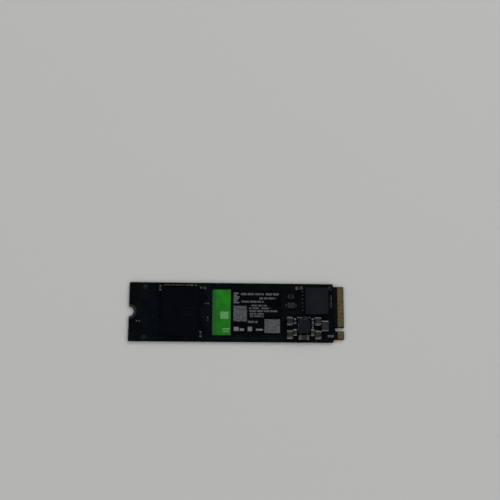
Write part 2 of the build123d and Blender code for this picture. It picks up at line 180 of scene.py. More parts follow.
def maskFinish():
    finish, tree, shader, coords = startFinish(maskLook["name"], maskLook["black"], maskLook["rough"][0],
                                               maskLook["gloss"])
    place = coords["Object"]
    x, y, z = put(tree, "ShaderNodeSeparateXYZ", {0: place}).outputs
    facing = put(tree, "ShaderNodeSeparateXYZ", {0: coords["Normal"]}).outputs[2]
    faceUp = calc(tree, "ABSOLUTE", facing)
    fromMiddle = calc(tree, "ABSOLUTE", calc(tree, "SUBTRACT", z, boardTop / 2))
    masked = calc(tree, "GREATER_THAN", fromMiddle, boardTop / 2 - maskLook["maskDepth"] * mm)
    masked = calc(tree, "MULTIPLY", masked, calc(tree, "GREATER_THAN", faceUp, levelFace))
    # the mask itself, and the copper that shows through it below
    cloud = noise(tree, place, maskLook["cloudSize"], richDetail)
    black = mixColour(tree, spread(tree, cloud, *maskLook["cloudSpan"]), maskLook["black"], maskLook["worn"])
    below = calc(tree, "LESS_THAN", facing, -levelFace)
    copper = calc(tree, "MULTIPLY", undersideCopper(tree, x, y, place), below)
    black = mixColour(tree, copper, black, underLook["tone"])
    # bare laminate: fibres along the cut edges, an even tone in the openings
    fibre = noise(tree, place, maskLook["fibreSize"], richDetail, maskLook["fibreStretch"])
    laminate = mixColour(tree, spread(tree, fibre, *noiseSpan), maskLook["core"], maskLook["laminate"])
    opening = calc(tree, "GREATER_THAN", faceUp, maskLook["openingFace"])
    laminate = mixColour(tree, opening, laminate, maskLook["opening"])
    # the weave of the laminate shows in the mask as a slight relief
    turn = 2 * math.pi / (maskLook["weavePitch"] * mm)
    waves = [calc(tree, "SINE", calc(tree, "MULTIPLY", axis, turn)) for axis in (x, y)]
    height = weighted(tree, (calc(tree, "MULTIPLY", *waves), maskLook["weaveLift"]),
                      (noise(tree, place, maskLook["grainSize"]), maskLook["grainLift"]),
                      (copper, underLook["lift"]))
    skin = spread(tree, cloud, *roughSpan, *maskLook["rough"])
    bare = calc(tree, "SUBTRACT", 1.0, masked)
    rough = calc(tree, "ADD", skin, calc(tree, "MULTIPLY", bare, maskLook["bareRough"]))
    wire(tree, shader, mixColour(tree, masked, laminate, black), rough, height, maskLook["depth"])
    return finish


# mask drawn up over the copper below it, a shade lighter than the open board
reliefLook = dict(name="maskOverCopper", black=(0.0036, 0.0050, 0.0059), lighter=(0.0060, 0.0075, 0.0085),
                  rough=0.26, gloss=0.13, toneSize=2.5, grainSize=0.1, depth=0.004)


def reliefFinish():
    finish, tree, shader, coords = startFinish(reliefLook["name"], reliefLook["black"], reliefLook["rough"],
                                               reliefLook["gloss"])
    place = coords["Object"]
    tone = spread(tree, noise(tree, place, reliefLook["toneSize"]), *noiseSpan)
    colour = mixColour(tree, tone, reliefLook["black"], reliefLook["lighter"])
    wire(tree, shader, colour, None, noise(tree, place, reliefLook["grainSize"]), reliefLook["depth"])
    return finish


# plated metals: drawn scratches, soft blotches and a slow drift of tone
goldLook = dict(name="contactGold", colour=(0.84, 0.60, 0.29), deep=(0.68, 0.46, 0.20), rough=(0.23, 0.37),
                scratch=(30.0, 1.0, 1.0), scratchSize=0.05, depth=0.002)
ringLook = dict(name="ringPlating", colour=(0.41, 0.40, 0.36), deep=(0.355, 0.345, 0.31), rough=(0.20, 0.28),
                scratch=(4.0, 4.0, 1.0), scratchSize=0.08, depth=0.003)
tinLook = dict(name="tinPlating", colour=(0.55, 0.55, 0.545), deep=(0.47, 0.47, 0.465), rough=(0.20, 0.31),
               scratch=(1.0, 1.0, 1.0), scratchSize=0.14, depth=0.0025)
solderLook = dict(name="reflowedSolder", colour=(0.34, 0.34, 0.345), deep=(0.27, 0.27, 0.275),
                  rough=(0.18, 0.32), scratch=(1.0, 1.0, 1.0), scratchSize=0.2, depth=0.008)
nickelLook = dict(name="crystalNickel", colour=(0.105, 0.115, 0.138), deep=(0.086, 0.095, 0.116),
                  rough=(0.28, 0.36), scratch=(12.0, 1.0, 1.0), scratchSize=0.05, depth=0.001)
# painted shade: tin ends of the small chips, coloured far darker than tin to stand for the shade they sit in
paintedShadeTinLook = dict(name="paintedShadeTin", colour=(0.088, 0.094, 0.101), deep=(0.071, 0.076, 0.083),
                   rough=(0.34, 0.46), scratch=(1.0, 1.0, 1.0), scratchSize=0.14, depth=0.0025)
discLook = dict(name="dullDisc", colour=(0.088, 0.094, 0.104), deep=(0.070, 0.075, 0.085), rough=(0.24, 0.36),
                scratch=(4.0, 4.0, 1.0), scratchSize=0.08, depth=0.003)
metalGrain = dict(blotchSize=0.9, blotchShare=0.6, driftSize=3.0, driftShare=0.4, gloss=0.5)


def metalFinish(look):
    finish, tree, shader, coords = startFinish(look["name"], look["colour"], look["rough"][0],
                                               metalGrain["gloss"], metal=1.0)
    place = coords["Object"]
    lines = noise(tree, place, look["scratchSize"], richDetail, look["scratch"])
    blotch = noise(tree, place, metalGrain["blotchSize"])
    drift = noise(tree, place, metalGrain["driftSize"], noDetail)
    tone = weighted(tree, (blotch, metalGrain["blotchShare"]), (drift, metalGrain["driftShare"]))
    colour = mixColour(tree, spread(tree, tone, *noiseSpan), look["colour"], look["deep"])
    wire(tree, shader, colour, spread(tree, lines, *roughSpan, *look["rough"]), lines, look["depth"])
    return finish


# moulded packages: black epoxy with pale filler grains, on a thin laminate carrier or on leads
memoryLook = dict(name="memoryEpoxy", black=(0.0006, 0.0015, 0.0032), grain=(0.0020, 0.0032, 0.0056),
                  rough=(0.50, 0.57), gloss=0.035, carrier=(0.008, 0.011, 0.008), carrierHeight=0.22,
                  node="nand_flash")
chipLook = dict(name="chipEpoxy", black=(0.0030, 0.0052, 0.0070), grain=(0.0070, 0.0098, 0.0122),
                rough=(0.46, 0.54), gloss=0.15, carrier=(0.012, 0.016, 0.012), carrierHeight=0.20,
                node="controller")
leadedLook = dict(chipLook, name="leadedEpoxy", carrierHeight=0.0, node="pmic")
epoxyGrain = dict(size=0.07, span=(0.52, 0.72), share=0.7, cloudSize=3.5, cloudSpan=(0.4, 0.75),
                  cloudShare=0.3, seam=0.015, seamTone=(0.001, 0.001, 0.001), depth=0.006)


def epoxyFinish(look):
    finish, tree, shader, coords = startFinish(look["name"], look["black"], look["rough"][0], look["gloss"])
    place = coords["Object"]
    z = put(tree, "ShaderNodeSeparateXYZ", {0: place}).outputs[2]
    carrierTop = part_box(look["node"])[0].z + look["carrierHeight"] * mm
    grain = noise(tree, place, epoxyGrain["size"])
    cloud = noise(tree, place, epoxyGrain["cloudSize"], richDetail)
    speck = calc(tree, "ADD", spread(tree, grain, *epoxyGrain["span"], 0.0, epoxyGrain["share"]),
                 spread(tree, cloud, *epoxyGrain["cloudSpan"], 0.0, epoxyGrain["cloudShare"]))
    epoxy = mixColour(tree, speck, look["black"], look["grain"])
    colour = mixColour(tree, calc(tree, "LESS_THAN", z, carrierTop), epoxy, look["carrier"])
    seam = near(tree, z, carrierTop, epoxyGrain["seam"] * mm)
    colour = mixColour(tree, seam, colour, epoxyGrain["seamTone"])
    wire(tree, shader, colour, spread(tree, cloud, *roughSpan, *look["rough"]), grain, epoxyGrain["depth"])
    return finish


# printed film: a green band, black beyond it; the duller strip at the band's outer end is painted lighting of
# an end bent down to the board, though the film lies flat
filmLook = dict(name="labelFilm", green=(0.018, 0.225, 0.012), deepGreen=(0.014, 0.118, 0.013),
                paintedBendGreen=(0.022, 0.100, 0.030), black=(0.0012, 0.0020, 0.0024), edge=(0.16, 0.16, 0.15),
                bandWidth=6.8, stripWidth=1.35, stripSoft=0.5, rough=(0.22, 0.30), gloss=0.13, cloudSize=3.2,
                cloudSpan=(0.38, 0.66), cloudFade=0.6, lowSideDeepening=0.5, wrinkleSize=6.0, wrinkleDetail=1.0,
                wrinkleLift=8.0, grainSize=0.15, grainLift=1.0, depth=0.004)


def filmFinish():
    finish, tree, shader, coords = startFinish(filmLook["name"], filmLook["black"], filmLook["rough"][0],
                                               filmLook["gloss"])
    place = coords["Object"]
    low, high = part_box("label")
    x, y = put(tree, "ShaderNodeSeparateXYZ", {0: place}).outputs[:2]
    cloud = noise(tree, place, filmLook["cloudSize"])
    # the green deepens at random and towards the label's low-Y long side
    fade = calc(tree, "ADD", spread(tree, cloud, *filmLook["cloudSpan"], 0.0, filmLook["cloudFade"]),
                spread(tree, y, high.y, low.y, 0.0, filmLook["lowSideDeepening"]))
    green = mixColour(tree, fade, filmLook["green"], filmLook["deepGreen"])
    # painted lighting: a duller strip along the band's outer end, as if that end were bent down
    strip, soft = low.x + filmLook["stripWidth"] * mm, filmLook["stripSoft"] * mm
    paintedBend = spread(tree, x, strip - soft, strip + soft, 1.0, 0.0)
    green = mixColour(tree, paintedBend, green, filmLook["paintedBendGreen"])
    band = calc(tree, "LESS_THAN", x, low.x + filmLook["bandWidth"] * mm)
    colour = mixColour(tree, band, filmLook["black"], green)
    faceUp = calc(tree, "ABSOLUTE", put(tree, "ShaderNodeSeparateXYZ", {0: coords["Normal"]}).outputs[2])
    colour = mixColour(tree, calc(tree, "GREATER_THAN", faceUp, levelFace), filmLook["edge"], colour)
    wrinkle = noise(tree, place, filmLook["wrinkleSize"], filmLook["wrinkleDetail"])
    grain = noise(tree, place, filmLook["grainSize"])
    height = weighted(tree, (wrinkle, filmLook["wrinkleLift"]), (grain, filmLook["grainLift"]))
    wire(tree, shader, colour, spread(tree, cloud, *roughSpan, *filmLook["rough"]), height, filmLook["depth"])
    return finish


# fired and pressed chip bodies, a little different from chip to chip
capacitorLook = dict(name="capacitorCeramic", colour=(0.0188, 0.0183, 0.0166), other=(0.0126, 0.0126, 0.0114),
                     rough=0.5)
aluminaLook = dict(name="resistorCeramic", colour=(0.42, 0.42, 0.40), other=(0.34, 0.34, 0.32), rough=0.55)
fuseLook = dict(name="fuseCeramic", colour=(0.078, 0.088, 0.076), other=(0.056, 0.064, 0.055), rough=0.5)
sensorLook = dict(name="thermistorCeramic", colour=(0.022, 0.022, 0.024), other=(0.014, 0.014, 0.016),
                  rough=0.5)
baseLook = dict(name="crystalCeramic", colour=(0.030, 0.026, 0.022), other=(0.020, 0.017, 0.015), rough=0.55)
ferriteLook = dict(name="ferrite", colour=(0.0062, 0.0072, 0.0070), other=(0.0135, 0.0145, 0.0140),
                   rough=0.56)
coatLook = dict(name="glassCoat", colour=(0.006, 0.006, 0.007), other=(0.010, 0.010, 0.012), rough=0.16)
firedGrain = dict(driftSize=2.5, driftShare=0.5, grainSize=0.08, grainShare=0.5, gloss=0.3, smoother=0.06,
                  rougher=0.08, depth=0.006)


def firedFinish(look):
    finish, tree, shader, coords = startFinish(look["name"], look["colour"], look["rough"],
                                               firedGrain["gloss"])
    place = coords["Object"]
    drift = noise(tree, place, firedGrain["driftSize"], noDetail)
    grain = noise(tree, place, firedGrain["grainSize"], richDetail)
    tone = weighted(tree, (drift, firedGrain["driftShare"]), (grain, firedGrain["grainShare"]))
    colour = mixColour(tree, spread(tree, tone, *noiseSpan), look["colour"], look["other"])
    rough = spread(tree, grain, *roughSpan, look["rough"] - firedGrain["smoother"],
                   look["rough"] + firedGrain["rougher"])
    wire(tree, shader, colour, rough, grain, firedGrain["depth"])
    return finish


# printing ink and laser marks, patchy where what carries them shows through
inkLook = dict(name="paleInk", colour=(0.165, 0.173, 0.185), thin=(0.115, 0.122, 0.132), rough=0.45,
               gloss=0.5)
fieldInkLook = dict(name="greyInk", colour=(0.105, 0.113, 0.125), thin=(0.075, 0.081, 0.092), rough=0.45,
                    gloss=0.5)
panelInkLook = dict(name="darkInk", colour=(0.038, 0.041, 0.046), thin=(0.026, 0.028, 0.032), rough=0.45,
                    gloss=0.5)
leafInkLook = dict(name="paleGreenInk", colour=(0.14, 0.33, 0.13), thin=(0.09, 0.26, 0.08), rough=0.45,
                   gloss=0.5)
laserLook = dict(name="laserMark", colour=(0.0078, 0.0100, 0.0128), thin=(0.0048, 0.0064, 0.0084), rough=0.6,
                 gloss=0.2)
faintLook = dict(name="faintMark", colour=(0.0032, 0.0046, 0.0066), thin=(0.0022, 0.0034, 0.0050), rough=0.6,
                 gloss=0.08)
inkGrain = dict(patchSize=0.5, patchSpan=(0.35, 0.7), grainSize=0.08, depth=0.003)


def inkFinish(look):
    finish, tree, shader, coords = startFinish(look["name"], look["colour"], look["rough"], look["gloss"])
    place = coords["Object"]
    tone = spread(tree, noise(tree, place, inkGrain["patchSize"], richDetail), *inkGrain["patchSpan"])
    colour = mixColour(tree, tone, look["colour"], look["thin"])
    wire(tree, shader, colour, None, noise(tree, place, inkGrain["grainSize"]), inkGrain["depth"])
    return finish


finishes = {
    "solder_mask": maskFinish(),
    "contact_gold": metalFinish(goldLook),
    "ring_plating": metalFinish(ringLook),
    "memory_package": epoxyFinish(memoryLook),
    "chip_package": epoxyFinish(chipLook),
    "label_film": filmFinish(),
    "solder": metalFinish(solderLook),
    "tin_plating": metalFinish(tinLook),
    "crystal_ceramic": firedFinish(baseLook),
    "crystal_metal": metalFinish(nickelLook),
    "capacitor_ceramic": firedFinish(capacitorLook),
    "resistor_ceramic": firedFinish(aluminaLook),
    "resistor_glass": firedFinish(coatLook),
    "fuse_ceramic": firedFinish(fuseLook),
    "thermistor_ceramic": firedFinish(sensorLook),
    "ferrite": firedFinish(ferriteLook),
}
# nodes with a finish of their own inside their slot; the small chips' tin ends are darkened there as painted
# shade
paintedShadeEnds = ("nand_capacitor_ends", "controller_capacitor_ends", "lane_capacitor_ends", "input_capacitor_ends",
            "resistor_ends", "thermistor_ends")
ownFinishes = {"fiducial_discs": metalFinish(discLook)}
ownFinishes.update(dict.fromkeys(("pmic", "load_switch"), epoxyFinish(leadedLook)))
ownFinishes.update(dict.fromkeys(paintedShadeEnds, metalFinish(paintedShadeTinLook)))
maskRelief = reliefFinish()
paleInk = inkFinish(inkLook)
greyInk = inkFinish(fieldInkLook)
darkInk = inkFinish(panelInkLook)
leafInk = inkFinish(leafInkLook)
laserMark = inkFinish(laserLook)
faintMark = inkFinish(faintLook)
print("finishes made:", len(finishes), "for slots,", len(ownFinishes), "nodes with their own")


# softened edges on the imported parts, by slot, in millimetres
edgeLook = dict(width={"memory_package": 0.09, "chip_package": 0.06, "label_film": 0.02, "tin_plating": 0.05,
                       "capacitor_ceramic": 0.04, "ferrite": 0.08, "resistor_ceramic": 0.02,
                       "resistor_glass": 0.01, "fuse_ceramic": 0.04, "thermistor_ceramic": 0.03,
                       "crystal_ceramic": 0.04, "contact_gold": 0.008, "ring_plating": 0.012,
                       "crystal_metal": 0.03},
                steps=3, angle=40.0)


def weldPoints(part, name):
    weld = part.modifiers.new(name, "WELD")
    weld.merge_threshold = weldGap


def softenEdges(part, width):
    weldPoints(part, "weld")
    bevel = part.modifiers.new("softEdge", "BEVEL")
    bevel.width = width * mm
    bevel.segments = edgeLook["steps"]
    bevel.limit_method = "ANGLE"
    bevel.angle_limit = math.radians(edgeLook["angle"])
    bevel.use_clamp_overlap = True
    weldPoints(part, "tidyWeld")


for nodeName, slot in slots.items():
    part = nodes[nodeName]
    part.data.materials.clear()
    part.data.materials.append(ownFinishes.get(nodeName, finishes[slot]))
    if slot in edgeLook["width"]:
        softenEdges(part, edgeLook["width"][slot])
print("packed parts finished:", len(slots))


# Geometry Nodes helpers
def startTree(name, sockets):
    tree = bpy.data.node_groups.new(name, "GeometryNodeTree")
    tree.interface.new_socket("Geometry", in_out="INPUT", socket_type="NodeSocketGeometry")
    for label, kind in sockets.items():
        tree.interface.new_socket(label, in_out="INPUT", socket_type="NodeSocket" + kind)
    tree.interface.new_socket("Geometry", in_out="OUTPUT", socket_type="NodeSocketGeometry")
    return tree, put(tree, "NodeGroupInput").outputs


def endTree(tree, geometry, material):
    real = put(tree, "GeometryNodeRealizeInstances", {0: geometry}).outputs[0]
    dressed = put(tree, "GeometryNodeSetMaterial", {"Geometry": real, "Material": material}).outputs[0]
    put(tree, "NodeGroupOutput", {0: dressed})


def makePiece(name, points, tree, values, edges=(), sizes=None):
    # runs a tree on these points (metres) and keeps the result as a plain mesh on the card
    mesh = bpy.data.meshes.new(name)
    mesh.from_pydata(points, edges, [])
    if sizes:
        store = mesh.attributes.new("size", "FLOAT_VECTOR", "POINT")
        store.data.foreach_set("vector", np.array(sizes, np.float32).ravel())
    piece = bpy.data.objects.new(name, mesh)
    bpy.context.scene.collection.objects.link(piece)
    build = piece.modifiers.new("build", "NODES")
    build.node_group = tree
    for item in tree.interface.items_tree:
        if item.in_out == "INPUT" and item.name in values:
            build[item.identifier] = values[item.name]
    made = bpy.data.meshes.new_from_object(piece.evaluated_get(bpy.context.evaluated_depsgraph_get()))
    piece.modifiers.remove(build)
    piece.data = made
    made.name = name
    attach(piece, "root")
    print(name, "made:", len(made.polygons), "faces")
    return piece


# how finely the trees draw, and how much narrower a section is at its top
treeLook = dict(bendSteps=2, stripTop=0.5, ringSteps=16, ringTop=0.3, ballSegments=10, ballRings=6)


def lowSection(tree, given, topShare):
    # a low cross section with sloping sides
    narrow = calc(tree, "MULTIPLY", given["Width"], topShare)
    sides = {"Height": given["Height"], "Bottom Width": given["Width"], "Top Width": narrow, "Offset": 0.0}
    return put(tree, "GeometryNodeCurvePrimitiveQuadrilateral", sides, mode="TRAPEZOID").outputs[0]


def stripTree():
    # a flat strip with sloping sides along each chain of edges
    tree, given = startTree("maskStrip", {"Width": "Float", "Height": "Float", "Bend": "Float",
                                          "Material": "Material"})
    line = put(tree, "GeometryNodeMeshToCurve", {0: given["Geometry"]}).outputs[0]
    line = put(tree, "GeometryNodeFilletCurve",
               {"Curve": line, "Radius": given["Bend"], "Count": treeLook["bendSteps"], "Limit Radius": True},
               mode="POLY").outputs[0]
    line = put(tree, "GeometryNodeSetCurveNormal", {0: line}, mode="Z_UP").outputs[0]
    section = lowSection(tree, given, treeLook["stripTop"])
    strip = put(tree, "GeometryNodeCurveToMesh",
                {"Curve": line, "Profile Curve": section, "Fill Caps": True}).outputs[0]
    clean = put(tree, "GeometryNodeMergeByDistance", {0: strip, "Distance": weldGap}).outputs[0]
    flat = put(tree, "GeometryNodeSetShadeSmooth", {0: clean, "Shade Smooth": False}).outputs[0]
    endTree(tree, flat, given["Material"])
    return tree


def ringTree():
    # a low ring on every point
    tree, given = startTree("viaRing", {"Radius": "Float", "Width": "Float", "Height": "Float",
                                        "Material": "Material"})
    circle = put(tree, "GeometryNodeCurvePrimitiveCircle",
                 {"Resolution": treeLook["ringSteps"], "Radius": given["Radius"]}).outputs[0]
    section = lowSection(tree, given, treeLook["ringTop"])
    ring = put(tree, "GeometryNodeCurveToMesh", {"Curve": circle, "Profile Curve": section}).outputs[0]
    ring = put(tree, "GeometryNodeSetShadeSmooth", {0: ring, "Shade Smooth": False}).outputs[0]
    rings = put(tree, "GeometryNodeInstanceOnPoints",
                {"Points": given["Geometry"], "Instance": ring}).outputs[0]
    endTree(tree, rings, given["Material"])
    return tree


def plateTree():
    # a thin block of its own size on every point
    tree, given = startTree("inkPlate", {"Material": "Material"})
    size = put(tree, "GeometryNodeInputNamedAttribute", {"Name": "size"},
               data_type="FLOAT_VECTOR").outputs[0]
    plate = put(tree, "GeometryNodeMeshCube", {"Size": (1.0, 1.0, 1.0)}).outputs[0]
    plates = put(tree, "GeometryNodeInstanceOnPoints",
                 {"Points": given["Geometry"], "Instance": plate, "Scale": size}).outputs[0]
    endTree(tree, plates, given["Material"])
    return tree


def cellTree():
    # a field of square cells, some of them left out by a fixed draw
    tree, given = startTree("cellField", {"Wide": "Float", "Tall": "Float", "Pitch": "Float", "Gap": "Float",
                                          "Share": "Float", "Thick": "Float", "Centre": "Vector",
                                          "Seed": "Int", "Material": "Material"})
    pitch = given["Pitch"]
    across, down = [calc(tree, "ROUND", calc(tree, "DIVIDE", given[side], pitch))
                    for side in ("Wide", "Tall")]
    reachX, reachY = [calc(tree, "SUBTRACT", given[side], pitch) for side in ("Wide", "Tall")]
    grid = put(tree, "GeometryNodeMeshGrid", {"Size X": reachX, "Size Y": reachY, "Vertices X": across,
                                              "Vertices Y": down}).outputs[0]
    moved = put(tree, "GeometryNodeTransform", {"Geometry": grid, "Translation": given["Centre"]}).outputs[0]
    keep = put(tree, "FunctionNodeRandomValue", {"Probability": given["Share"], "Seed": given["Seed"]},
               data_type="BOOLEAN").outputs[3]
    side = calc(tree, "SUBTRACT", pitch, given["Gap"])
    size = put(tree, "ShaderNodeCombineXYZ", {0: side, 1: side, 2: given["Thick"]}).outputs[0]
    cell = put(tree, "GeometryNodeMeshCube", {"Size": size}).outputs[0]
    cells = put(tree, "GeometryNodeInstanceOnPoints",
                {"Points": moved, "Selection": keep, "Instance": cell}).outputs[0]
    endTree(tree, cells, given["Material"])
    return tree


def ballTree():
    # a squashed solder ball on every point
    tree, given = startTree("solderBall", {"Radius": "Float", "Half Height": "Float", "Material": "Material"})
    ball = put(tree, "GeometryNodeMeshUVSphere", {"Segments": treeLook["ballSegments"],
                                                  "Rings": treeLook["ballRings"], "Radius": 1.0}).outputs[0]
    ball = put(tree, "GeometryNodeSetShadeSmooth", {0: ball}).outputs[0]
    size = put(tree, "ShaderNodeCombineXYZ",
               {0: given["Radius"], 1: given["Radius"], 2: given["Half Height"]}).outputs[0]
    balls = put(tree, "GeometryNodeInstanceOnPoints",
                {"Points": given["Geometry"], "Instance": ball, "Scale": size}).outputs[0]
    endTree(tree, balls, given["Material"])
    return tree


strips, rings, plates = stripTree(), ringTree(), plateTree()
cellFields, squashedBalls = cellTree(), ballTree()
print("trees built")


# solder balls under the two large packages, squashed between package and board
ballLook = {"nand_solder_balls": dict(pitch=1.0, radius=0.25, halfHeight=0.18),
            "controller_solder_balls": dict(pitch=0.65, radius=0.20, halfHeight=0.17)}


def ballPlaces(nodeName, pitch):
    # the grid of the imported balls, from the box round them
    low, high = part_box(nodeName)
    columns = int((high.x - low.x) / pitch) + 1
    rows = int((high.y - low.y) / pitch) + 1
    middle = (low + high) / 2
    return [(middle.x + (i - (columns - 1) / 2) * pitch, middle.y + (j - (rows - 1) / 2) * pitch, middle.z)
            for i in range(columns) for j in range(rows)]


for nodeName, look in ballLook.items():
    values = {"Radius": look["radius"] * mm, "Half Height": look["halfHeight"] * mm,
              "Material": finishes["solder"]}
    places = ballPlaces(nodeName, look["pitch"] * mm)
    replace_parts(makePiece(nodeName + "_round", places, squashedBalls, values), nodeName)


# copper lines under the mask, drawn as routes in millimetres
traceLook = dict(width=0.16, height=0.024, bend=0.25, padReach=0.1, underPackage=0.4, underLabel=0.5,
                 bareStrip=0.2, fingerPitch=0.5, fingerWidth=0.35, keySlots=(29, 30, 31, 32),
                 necks=(0.45, 0.85), laneCount=8, laneChip=0.34, laneBend=0.45, memoryLines=12,
                 memoryPitch=0.62, memoryBend=0.5, memoryStagger=0.25, busPitch=0.3, busRise=0.4,
                 hostLines=4, hostPitch=0.3, hostInset=0.15,
                 sensorRise=0.9, sensorBend=1.2, sensorStart=1.0, sensorDrop=3.2)


def jog(startX, startY, endX, endY, bendX):
    # along X, over at 45 degrees, along X again
    over = math.copysign(abs(endY - startY), endX - startX)
    return [(startX, startY), (bendX, startY), (bendX + over, endY), (endX, endY)]


def corners(nodeName):
    # a node's outline from above, in millimetres
    low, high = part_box(nodeName)
    return SimpleNamespace(left=low.x / mm, low=low.y / mm, right=high.x / mm, high=high.y / mm)


def contactRoutes():
    # lanes from their contacts through their chips to the controller, and a short line at every other contact
    fingers, chips = corners("contact_fingers_top"), corners("lane_capacitor_ends")
    count, pitch, pad = traceLook["laneCount"], traceLook["fingerPitch"], traceLook["padReach"]
    firstY = fingers.high - traceLook["fingerWidth"] / 2
    maskEnd = fingers.left - traceLook["bareStrip"]
    underController = corners("controller").right - traceLook["underPackage"]
    lanePitch = (chips.high - chips.low - traceLook["laneChip"]) / (count - 1)
    laneMiddle = (chips.low + chips.high) / 2
    firstLane = round((firstY - laneMiddle) / pitch - (count - 1) / 2)
    lanes, necks = [], []
    for i in range(count):
        laneY = laneMiddle + ((count - 1) / 2 - i) * lanePitch
        fingerY = firstY - (firstLane + i) * pitch
        lanes.append(jog(chips.right + pad, laneY, maskEnd, fingerY, chips.right + traceLook["laneBend"]))
        lanes.append([(underController, laneY), (chips.left - pad, laneY)])
    for i in range(int((fingers.high - fingers.low) / pitch) + 1):
        if i in traceLook["keySlots"] or firstLane <= i < firstLane + count:
            continue
        fingerY = firstY - i * pitch
        necks.append([(maskEnd - traceLook["necks"][i % 2], fingerY), (maskEnd, fingerY)])
    return lanes, necks


def memoryRoutes():
    # a fan from the memory that closes up into a bus under the label
    startX = corners("nand_flash").right
    endX = corners("label").left + traceLook["underLabel"]
    lines, routes = traceLook["memoryLines"], []
    for i in range(lines):
        step = (lines - 1) / 2 - i
        startY, busY = step * traceLook["memoryPitch"], traceLook["busRise"] + step * traceLook["busPitch"]
        bendX = startX + traceLook["memoryBend"] + abs(abs(step) - lines / 2) * traceLook["memoryStagger"]
        routes.append(jog(startX - traceLook["underPackage"], startY, endX, busY, bendX))
    return routes


def hostRoutes():
    # a few lines from under the label into the controller
    controller = corners("controller")
    startX = corners("label").right - traceLook["underLabel"]
    endX = controller.left + traceLook["underPackage"]
    heights = [controller.low + traceLook["hostInset"] + i * traceLook["hostPitch"]
               for i in range(traceLook["hostLines"])]
    return [[(startX, y), (endX, y)] for y in heights]


def sensorRoutes():
    # both ends of the temperature sensor, to under the memory
    sensor = corners("thermistor_ends")
    endX = corners("nand_flash").left + traceLook["underPackage"]
    middleY, pad = (sensor.low + sensor.high) / 2, traceLook["padReach"]
    start, drop = traceLook["sensorStart"], traceLook["sensorDrop"]
    return [jog(sensor.right + pad, middleY, endX, middleY + traceLook["sensorRise"],
                sensor.right + traceLook["sensorBend"]),
            [(sensor.left, sensor.low - pad), (sensor.left, sensor.low - start),
             (sensor.left + drop - start, sensor.low - drop), (endX, sensor.low - drop)]]


# broad copper for the supply, along the lower edge to the memory and over to the label
railLook = dict(width=0.62, height=0.024, bend=0.5, belowLabel=1.1, leftReach=5.0, step=0.6)


def railRoutes():
    label, lower, upper = corners("label"), corners("inductor_2_ends"), corners("inductor_1_ends")
    step, railY = railLook["step"], label.low - railLook["belowLabel"]
    lowerY, upperY = lower.low + step / 2, upper.high - step / 2
    along = [(lower.left + step, lowerY), (lower.left - step, lowerY), (lower.left - 2 * step, railY),
             (corners("nand_flash").left - railLook["leftReach"], railY)]
    return [along, [(upper.left + step, upperY), (label.right - step, upperY)]]


def makeLines(name, routes, look):
    points, edges = [], []
    for route in routes:
        edges += [(len(points) + i, len(points) + i + 1) for i in range(len(route) - 1)]
        points += [(x * mm, y * mm, boardTop) for x, y in route]
    values = {"Width": look["width"] * mm, "Height": look["height"] * mm, "Bend": look["bend"] * mm,
              "Material": maskRelief}
    makePiece(name, points, strips, values, edges=edges)


lanes, necks = contactRoutes()
traces = lanes + necks + memoryRoutes() + hostRoutes() + sensorRoutes()
rails = railRoutes()
makeLines("board_traces", traces, traceLook)
makeLines("board_rails", rails, railLook)


# vias: a row along the board's edges, loose rows over the free board, and one at each short contact line
viaLook = dict(radius=0.18, width=0.22, height=0.018, edgePitch=1.9, edgeInset=0.5, edgeStart=1.0,
               edgeSpacing=0.5, fieldPitch=2.3, fieldStart=(0.7, 0.6), stagger=0.5, jitter=0.35, spacing=1.15,
               clearance=0.3, notchReach=3.4, shoulderGap=1.5, seed=7)


def takenBoxes():
    # the outline of every packed face that isn't the board's, in millimetres
    boxes = []
    for name, part in nodes.items():
        if name == "pcb":
            continue
        for face in part.data.polygons:
            spots = [part.data.vertices[i].co for i in face.vertices]
            xs, ys = [spot.x / mm for spot in spots], [spot.y / mm for spot in spots]
            boxes.append((min(xs), min(ys), max(xs), max(ys)))
    return np.array(boxes)


def viaPlaces():
    taken = takenBoxes()
    spans = np.array([(*a, *b) for route in traces + rails for a, b in zip(route, route[1:])])
    lineStart, lineRun = spans[:, :2], spans[:, 2:] - spans[:, :2]
    board = corners("pcb")
    shoulder = corners("contact_fingers_top").left - viaLook["shoulderGap"]
    gap = viaLook["radius"] + viaLook["clearance"]
    places = []

    def addIfFree(x, y, spacing):
        beside = ((taken[:, 0] - gap < x) & (x < taken[:, 2] + gap)
                  & (taken[:, 1] - gap < y) & (y < taken[:, 3] + gap))
        if beside.any() or math.hypot(x - board.left, y) < viaLook["notchReach"]:
            return
        along = np.clip((((x, y) - lineStart) * lineRun).sum(1) / (lineRun ** 2).sum(1), 0, 1)
        nearest = lineStart + lineRun * along[:, None]
        if (np.hypot(x - nearest[:, 0], y - nearest[:, 1]) < gap + railLook["width"] / 2).any():
            return
        if all(math.hypot(x - otherX, y - otherY) > spacing for otherX, otherY in places):
            places.append((x, y))

    inset, pitch, start = viaLook["edgeInset"], viaLook["edgePitch"], viaLook["edgeStart"]
    for i in range(int((shoulder - board.left - 2 * inset) / pitch)):
        for y in (board.low + inset, board.high - inset):
            addIfFree(board.left + start + i * pitch, y, viaLook["edgeSpacing"])
    for i in range(int((board.high - board.low) / pitch)):
        addIfFree(board.left + inset, board.low + start + i * pitch, viaLook["edgeSpacing"])
    draw = random.Random(viaLook["seed"])
    step, jitter = viaLook["fieldPitch"], viaLook["jitter"]
    startX, startY = viaLook["fieldStart"]
    for i in range(int((shoulder - board.left) / step)):
        for j in range(int((board.high - board.low) / step)):
            x = board.left + (i + startX) * step + draw.uniform(-jitter, jitter)
            y = board.low + (j + startY + viaLook["stagger"] * (i % 2)) * step + draw.uniform(-jitter, jitter)
            if y < board.high - inset:
                addIfFree(x, y, viaLook["spacing"])
    return places + [(x - viaLook["radius"], y) for (x, y), end in necks]


vias = [(x * mm, y * mm, boardTop) for x, y in viaPlaces()]
values = {"Radius": viaLook["radius"] * mm, "Width": viaLook["width"] * mm, "Height": viaLook["height"] * mm,
          "Material": maskRelief}
makePiece("board_vias", vias, rings, values)


